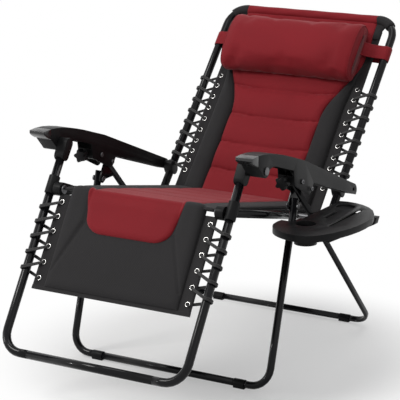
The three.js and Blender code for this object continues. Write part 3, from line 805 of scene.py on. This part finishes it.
class RECLINER_OT_head_pillow(bpy.types.Operator):
    """Boxy head pillow with piped ends, and a strap round each back tube"""

    bl_idname = "recliner.head_pillow"
    bl_label = "Head Pillow"

    def execute(self, context):
        half = 0.229
        low, high = 0.494, 0.690
        depth = sizes().pillow_depth
        base = 0.0125
        rings = []
        profile = [(0.0, 0.0400), (0.0005, 0.012), (0.0020, 0.0045), (0.006, 0.0012), (0.014, 0.0)]
        stops = [(-half + x, shrink) for x, shrink in profile]
        end = profile[-1][0]
        inner = 26
        stops += [(-half + end + (2 * half - 2 * end) * i / inner, 0.0) for i in range(1, inner)]
        stops += [(half - x, shrink) for x, shrink in reversed(profile)]
        for x, shrink in stops:
            crown = 0.006 * (1 - (abs(x) / half) ** 2.5)
            ring = pillow_ring(x, low, high, depth + crown, base, shrink)
            rings.append([BACK.at(*place) for place in ring])
        pillow = skin("head_pillow_cloth", rings)
        self.swell(pillow)
        dress(pillow, "red_cloth", "pillow")
        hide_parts("head_pillow")
        for sign, side in SIDES:
            ring = pillow_ring(sign * (half - 0.0022), low, high, depth, base, 0.0035)
            edge = [BACK.at(*place) for place in ring]
            piping = tube_skin("pillow_piping_" + side, edge, 0.0014, 8, True)
            dress(piping, "red_cloth", "pillow")
            self.strap(sign, side, half)
        return {"FINISHED"}

    def swell(self, obj):
        """Light wrinkles and a fuller middle, from a short cloth simulation held at the ends."""
        ends = []
        xs = [v.co.x - MID for v in obj.data.vertices]
        for index, x in enumerate(xs):
            grip = ease((abs(x) - 0.19) / 0.035)
            local = obj.data.vertices[index].co
            rear = (local - BACK.at(x, 0, 0)).dot(Vector((0, BACK.out.x, BACK.out.y)))
            grip = max(grip, 1 - ease((rear - 0.014) / 0.02))
            if grip > 0.01:
                ends.append((index, grip))
        puff(obj, ends, 6.0, 0.008)

    def strap(self, sign, side, half):
        """Flat band from the pillow's end, round the tube and back behind it."""
        low, high = 0.597, 0.645
        r = TUBE_R + 0.0018
        path = [(half - 0.012, 0.030), (half + 0.004, 0.026), (half + 0.018, 0.020),
                (TUBE_X - 0.030, 0.0160), (TUBE_X - 0.012, r + 0.0006)]
        path += [(TUBE_X + r * math.sin(a), r * math.cos(a))
                 for a in [math.pi * i / 14 for i in range(15)]]
        path += [(TUBE_X - 0.02, -r - 0.0005), (TUBE_X - 0.05, -r + 0.002), (half + 0.002, -0.0090),
                 (half - 0.02, -0.0075)]
        thick = 0.0016
        rings = []
        for i, (x, t) in enumerate(path):
            ahead = Vector(path[min(i + 1, len(path) - 1)]) - Vector(path[max(i - 1, 0)])
            normal = Vector((-ahead.y, ahead.x)).normalized()
            ring = []
            for s, lift in ((low, 0), (low + 0.002, 1), ((low + high) / 2, 1.15), (high - 0.002, 1),
                            (high, 0)):
                ring.append((x + normal.x * thick * lift * 0.5, s, t + normal.y * thick * lift * 0.5))
            for s, lift in ((high - 0.002, 1), ((low + high) / 2, 1), (low + 0.002, 1)):
                ring.append((x - normal.x * thick * lift * 0.5, s, t - normal.y * thick * lift * 0.5))
            rings.append([BACK.at(sign * a, b, c) for a, b, c in ring])
        band = skin("pillow_strap_cloth_" + side, rings)
        dress(band, "red_cloth", "pillow")
        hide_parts("pillow_strap_" + side)


class RECLINER_OT_top_sleeve(bpy.types.Operator):
    """Red sleeve round the top bar, with black end bands over the corners"""

    bl_idname = "recliner.top_sleeve"
    bl_label = "Top Sleeve"

    def execute(self, context):
        radius = TUBE_R + 0.0034
        half = 0.238
        end = BACK.length
        rings = []
        for i in range(49):
            x = -half + 2 * half * i / 48
            ring = []
            for j in range(28):
                a = math.tau * j / 28
                r = radius + 0.0005 * math.sin(55 * x + 3 * a) * (0.5 + 0.5 * math.sin(a))
                ring.append(BACK.at(x, end + r * math.cos(a), r * math.sin(a)))
            rings.append(ring)
        sleeve = skin("top_sleeve_cloth", rings)
        dress(sleeve, "red_cloth", "back_frame")
        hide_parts("top_sleeve")
        for sign, side in SIDES:
            bend = 0.062
            band_r = radius + 0.0008
            places = [(half - 0.004, end)]
            for i in range(9):
                a = math.radians(50) * i / 8
                places.append((half + bend * math.sin(a), end - bend * (1 - math.cos(a))))
            rings = []
            for i, (x, s) in enumerate(places):
                ahead = Vector(places[min(i + 1, len(places) - 1)]) - Vector(places[max(i - 1, 0)])
                normal = Vector((-ahead.y, ahead.x)).normalized()
                r = band_r * (0.93 if i in (0, len(places) - 1) else 1)
                rings.append([BACK.at(sign * (x + normal.x * r * math.cos(b)), s + normal.y * r * math.cos(b),
                                      r * math.sin(b)) for b in [math.tau * j / 24 for j in range(24)]])
            band = skin("sleeve_band_" + side, rings)
            dress(band, "black_cloth", "back_frame")
            rings = []
            for i in range(13):
                s = end - 0.012 - 0.060 * i / 12
                reach = 0.262 + 0.010 * (1 - ease(i / 6))
                rings.append([BACK.at(sign * x, s, t) for x, t in
                              ((half - 0.004, 0.0042), (reach - 0.002, 0.0042), (reach, 0.001),
                               (reach - 0.002, -0.0022), (half - 0.004, -0.0022))])
            tab = skin("sleeve_tab_" + side, rings)
            dress(tab, "black_cloth", "back_frame")
        return {"FINISHED"}


# ---------- lacing ----------
LACED = {
    "leg": (LEG, "leg_rest", "leg_lacing_", (0.038, 0.082, 0.127, 0.173, 0.221, 0.269)),
    "back": (BACK, "back_frame", "back_lacing_",
             (0.129, 0.164, 0.200, 0.238, 0.279, 0.320, 0.362, 0.404, 0.446, 0.484)),
}
EYELET_X = 0.247
CORD_WRAP = (100, 60, 20, -20, -60, -95)    # degrees round the tube, from the sitter's side
EYELET_RINGS = ((0.0066, 0.0012, 0.0030, 0.8), (0.0064, 0.0011, -0.0034, 1))


def rounded(places, steps=6):
    """Catmull-Rom points through the given places."""
    out = []
    for i in range(len(places) - 1):
        p0 = places[max(i - 1, 0)]
        p1, p2 = places[i], places[i + 1]
        p3 = places[min(i + 2, len(places) - 1)]
        for k in range(steps):
            u = k / steps
            out.append(0.5 * (2 * p1 + (p2 - p0) * u + (2 * p0 - 5 * p1 + 4 * p2 - p3) * u * u
                              + (3 * p1 - p0 - 3 * p2 + p3) * u ** 3))
    out.append(places[-1])
    return out


class RECLINER_OT_lacing(bpy.types.Operator):
    """Eyelets along the cloth's edges and elastic cord laced from them round the tubes"""

    bl_idname = "recliner.lacing"
    bl_label = "Lacing"

    def execute(self, context):
        for label, (plane, body, node, places) in LACED.items():
            for sign, side in SIDES:
                self.eyelets(label, side, sign, plane, body, places)
                self.cords(label, side, sign, plane, body, places, node + side)
        return {"FINISHED"}

    def eyelets(self, label, side, sign, plane, body, places):
        """A front and a rear ring at each place, joined into one piece."""
        rings = []
        turn = Matrix(((1, 0, 0), (0, plane.run.x, plane.out.x), (0, plane.run.y, plane.out.y))).to_4x4()
        for s in places:
            for major, minor, lift, flatness in EYELET_RINGS:
                deselect()
                bpy.ops.mesh.primitive_torus_add(major_radius=major, minor_radius=minor,
                                                 major_segments=20, minor_segments=8)
                ring = bpy.context.object
                ring.data.transform(Matrix.Diagonal((1, 1, flatness, 1)))
                ring.data.transform(Matrix.Translation(plane.at(sign * EYELET_X, s, lift)) @ turn)
                rings.append(ring)
        deselect()
        for ring in rings:
            ring.select_set(True)
        bpy.context.view_layer.objects.active = rings[0]
        bpy.ops.object.join()
        obj = bpy.context.object
        outward(obj, merge=False)
        bpy.ops.object.shade_smooth()
        settle(obj)
        obj.name = f"{label}_eyelets_{side}"
        dress(obj, "nickel", body)

    def cords(self, label, side, sign, plane, body, places, node):
        """Two strands that lie side by side, each in one run through every eyelet."""
        r = TUBE_R + sizes().cord_radius + 0.0004
        for strand in (-1, 1):
            shift = strand * 0.0023
            path = []
            for i, s in enumerate(places):
                step = (places[i + 1] - s) if i + 1 < len(places) else 0.04
                path.append(plane.at(sign * (EYELET_X - 0.0012), s + shift * 0.3, -0.0065))
                path.append(plane.at(sign * (EYELET_X + 0.0005), s + shift * 0.4, 0.0020))
                path.append(plane.at(sign * (EYELET_X + 0.006), s + shift * 0.7 + 0.10 * step, 0.0078))
                if i + 1 == len(places):
                    break
                for j, degrees in enumerate(CORD_WRAP):
                    a = math.radians(degrees)
                    along = s + shift + step * (0.50 + 0.14 * j / (len(CORD_WRAP) - 1))
                    path.append(plane.at(sign * (TUBE_X + r * math.cos(a)), along, r * math.sin(a)))
                path.append(plane.at(sign * (EYELET_X + 0.012), s + shift * 0.7 + 0.92 * step, -0.0075))
            cord = tube_skin(f"{label}_cord_{side}_{'a' if strand < 0 else 'b'}", rounded(path),
                             sizes().cord_radius, 10)
            dress(cord, "braided_cord", body)
        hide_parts(node)


# ---------- tubes, fittings, armrests and tray ----------
TUBE_NODES = ("rear_leg", "front_leg", "seat_tube", "leg_rest_tube", "back_tube", "web_plate")
BAR_NODES = ("rear_floor_bar", "front_floor_bar", "foot_bar", "back_top_bar")
PLASTIC_NODES = {"rear_foot": 0.001, "front_foot": 0.001, "front_seat_bracket": 0.003,
                 "rear_seat_bracket": 0.003, "knee_collar": 0.0012, "arm_yoke": 0.0022, "arm_clamp": 0.0022,
                 "lock_knob": 0.0012}
STEEL_NODES = ("seat_pivot_bolt", "crossing_bolt", "knee_pin", "hip_pin", "arm_pin")


class RECLINER_OT_tubes(bpy.types.Operator):
    """Gloss painted tubes of the base, seat and sling frames"""

    bl_idname = "recliner.tubes"
    bl_label = "Tubes"

    def execute(self, context):
        for name in BAR_NODES:
            softened(name, "gloss_paint")
        for name in TUBE_NODES:
            for _, side in SIDES:
                softened(f"{name}_{side}", "gloss_paint", 0.0009 if name == "web_plate" else 0.0)
        return {"FINISHED"}


class RECLINER_OT_fittings(bpy.types.Operator):
    """Plastic brackets, collars, clamps, feet and knobs, and the steel pins and bolts"""

    bl_idname = "recliner.fittings"
    bl_label = "Fittings"

    def execute(self, context):
        for name, bevel in PLASTIC_NODES.items():
            for _, side in SIDES:
                softened(f"{name}_{side}", "satin_plastic", bevel)
        for name in STEEL_NODES:
            for _, side in SIDES:
                softened(f"{name}_{side}", "dark_steel", 0.0006)
        return {"FINISHED"}


LUG_BOLTS = ((0.2155, -0.0745), (0.2745, -0.1075))    # y and z from the armrest's front pin
BOLT_R = 0.0070
BOLT_HEIGHT = 0.004


def bolt_head(name, place, outward_x):
    """Round head with a sunk socket, its face towards +X or -X."""
    radius, height = BOLT_R, BOLT_HEIGHT
    deselect()
    bpy.ops.mesh.primitive_cylinder_add(vertices=24, radius=radius, depth=height)
    obj = bpy.context.object
    bpy.ops.object.mode_set(mode="EDIT")
    bpy.ops.mesh.select_all(action="DESELECT")
    bpy.ops.object.mode_set(mode="OBJECT")
    for face in obj.data.polygons:
        face.select = face.normal.z > 0.9
    bpy.ops.object.mode_set(mode="EDIT")
    bpy.ops.mesh.inset(thickness=radius * 0.22, depth=height * 0.22)
    bpy.ops.mesh.inset(thickness=radius * 0.26, depth=0)
    bpy.ops.mesh.extrude_region_move(TRANSFORM_OT_translate={"value": (0, 0, -height * 0.45)})
    bpy.ops.object.mode_set(mode="OBJECT")
    modifier(obj, "BEVEL", width=radius * 0.06, segments=2, limit_method="ANGLE",
             angle_limit=math.radians(40))
    apply_all(obj)
    turn = Matrix.Rotation(math.radians(90) * outward_x, 4, "Y")
    obj.data.transform(Matrix.Translation(place) @ turn)
    outward(obj)
    smooth(obj, 35)
    obj.name = name
    dress(obj, "dark_steel", "armrests")


class RECLINER_OT_armrests(bpy.types.Operator):
    """Armrests with glossy noses and the two bolts through each lug"""

    bl_idname = "recliner.armrests"
    bl_label = "Armrests"

    def execute(self, context):
        arm = Vector(JOINTS["arm_fold"]["pos_m"])
        for sign, side in SIDES:
            softened("armrest_" + side, "satin_plastic", 0.0045, 42)
            softened("armrest_nose_" + side, "gloss_plastic", 0.0040, 42)
            low, high = (Vector(c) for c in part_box("armrest_" + side))
            for number, (dy, dz) in enumerate(LUG_BOLTS):
                for face, face_sign in ((high.x, 1), (low.x, -1)):
                    place = Vector((face + face_sign * 0.0012, arm.y + dy, arm.z + dz))
                    label = "outer" if face_sign == sign else "inner"
                    bolt_head(f"lug_bolt_{side}_{label}_{number}", place, face_sign)
        return {"FINISHED"}


class RECLINER_OT_side_tray(bpy.types.Operator):
    """Side tray with its cup well, recess and slots, and the gusset under it"""

    bl_idname = "recliner.side_tray"
    bl_label = "Side Tray"

    def execute(self, context):
        softened("side_tray", "satin_plastic", 0.0016, 40)
        softened("tray_support", "satin_plastic", 0.0022, 40)
        return {"FINISHED"}


# ---------- studio ----------
FLOOR_NEAR_FAR = (0.42, 0.80)    # distances from the middle between which the floor brightens
FLOOR_NEAR_GLOW = 0.36
WORLD_LIGHT = 0.26
AIM_HEIGHT = 0.5
LAMPS = (    # name, place, size, power and tint
    ("key", (-2.3, -2.4, 3.6), 1.3, 90, (1.0, 0.99, 0.97)),
    ("fill", (3.2, -1.6, 2.0), 2.4, 9, (0.97, 0.98, 1.0)),
    ("glint", (-3.2, -2.4, 1.1), 0.24, 14, (1.0, 1.0, 1.0)),
    ("rear", (0.4, 2.8, 2.9), 2.2, 26, (1.0, 1.0, 1.0)),
    ("over", (0.0, -0.3, 3.9), 1.8, 30, (1.0, 1.0, 1.0)),
)
CAMERA_TURN = math.radians(30.59)
CAMERA_RISE = math.radians(14.28)
CAMERA_LENS = 159.9
CAMERA_PLACE = (2.618, -4.089, 1.797)    # from the chair's middle, the knee pivot and the floor


class RECLINER_OT_studio(bpy.types.Operator):
    """Pale floor, soft lamps and the camera"""

    bl_idname = "recliner.studio"
    bl_label = "Studio"

    def execute(self, context):
        deselect()
        bpy.ops.mesh.primitive_plane_add(size=40, location=(0, 0, -0.0005))
        floor = bpy.context.object
        settle(floor)
        floor.name = "floor"
        floor.data.materials.append(self.floor_finish())
        self.world()
        aim = Vector((MID, 0.0, AIM_HEIGHT))
        for name, place, size, power, tint in LAMPS:
            lamp = bpy.data.lights.new(name, "AREA")
            lamp.shape = "SQUARE"
            lamp.size = size
            lamp.energy = power
            lamp.color = tint
            obj = linked(name, lamp)
            obj.location = place
            obj.rotation_euler = (Vector(place) - aim).to_track_quat("Z", "Y").to_euler()
        self.camera()
        context.scene.view_settings.view_transform = "Standard"
        return {"FINISHED"}

    def floor_finish(self):
        """Paper that glows to white away from the chair, so that only shadows near it show."""
        finish = Finish("studio_floor")
        paper = finish.noise(3.0, 2.0)
        base = finish.mix(paper, rgba(colours().floor, 0.99), rgba(colours().floor, 1.01))
        finish.set(Base_Color=base, Roughness=0.55 + paper * 0.1, Specular_IOR_Level=0.2)
        glow = finish.add("ShaderNodeEmission", {}, Color=(1, 1, 1, 1), Strength=1.0)
        length = finish.add("ShaderNodeVectorMath", {"operation": "LENGTH"}, finish.place())
        reach = Link(finish, length.socket.node.outputs["Value"])
        far = finish.add("ShaderNodeMapRange", {"interpolation_type": "SMOOTHSTEP"},
                         reach, *FLOOR_NEAR_FAR, FLOOR_NEAR_GLOW, 1.0)
        paper_shader = Link(finish, finish.shader.outputs[0])
        blend = finish.add("ShaderNodeMixShader", {},
                           finish.rays("Camera", "Glossy") * far, paper_shader, glow)
        finish.put(finish.tree.nodes["Material Output"].inputs["Surface"], blend)
        return finish.material

    def world(self):
        """White surround, dimmer as a light than it looks."""
        world = bpy.data.worlds.new("studio")
        bpy.context.scene.world = world
        world.use_nodes = True
        nodes = Nodes(world.node_tree)
        background = nodes.tree.nodes["Background"]
        background.inputs["Color"].default_value = (1, 1, 1, 1)
        seen = nodes.rays("Camera", "Transmission", "Glossy")
        nodes.put(background.inputs["Strength"],
                  seen.math("MULTIPLY_ADD", 1 - WORLD_LIGHT, WORLD_LIGHT))

    def camera(self):
        """Long lens, a little above the chair and round to its tray side."""
        level = math.cos(CAMERA_RISE)
        toward = Vector((math.sin(CAMERA_TURN) * level, -math.cos(CAMERA_TURN) * level,
                         math.sin(CAMERA_RISE)))
        data = bpy.data.cameras.new("camera")
        data.lens = CAMERA_LENS
        data.sensor_width = 36
        camera = linked("camera", data)
        x, y, z = CAMERA_PLACE
        camera.location = (MID + x, KNEE.y + y, z)
        camera.rotation_euler = (-toward).to_track_quat("-Z", "Y").to_euler()
        bpy.context.scene.camera = camera


OPERATORS = (RECLINER_OT_tubes, RECLINER_OT_fittings, RECLINER_OT_armrests, RECLINER_OT_side_tray,
             RECLINER_OT_leg_pad, RECLINER_OT_seat_pad, RECLINER_OT_back_pad, RECLINER_OT_head_pillow,
             RECLINER_OT_top_sleeve, RECLINER_OT_lacing, RECLINER_OT_studio)


class RECLINER_PT_panel(bpy.types.Panel):
    """Sizes, colours and one button for each group of pieces"""

    bl_idname = "RECLINER_PT_panel"
    bl_label = "Zero Gravity Recliner"
    bl_space_type = "VIEW_3D"
    bl_region_type = "UI"
    bl_category = "Recliner"

    def draw(self, context):
        layout = self.layout
        for group in (context.scene.recliner_sizes, context.scene.recliner_colours):
            box = layout.box()
            for key in group.bl_rna.properties.keys():
                if key not in ("rna_type", "name"):
                    box.prop(group, key)
        for operator in OPERATORS:
            layout.operator(operator.bl_idname)


CLASSES = (ReclinerSizes, ReclinerColours, *OPERATORS, RECLINER_PT_panel)


def register():
    for cls in CLASSES:
        bpy.utils.register_class(cls)
    bpy.types.Scene.recliner_sizes = PointerProperty(type=ReclinerSizes)
    bpy.types.Scene.recliner_colours = PointerProperty(type=ReclinerColours)


def unregister():
    del bpy.types.Scene.recliner_colours
    del bpy.types.Scene.recliner_sizes
    for cls in reversed(CLASSES):
        bpy.utils.unregister_class(cls)


def main():
    """Builds every group of pieces in order."""
    register()
    for operator in OPERATORS:
        group, name = operator.bl_idname.split(".")
        getattr(getattr(bpy.ops, group), name)()


if __name__ == "__main__":
    main()
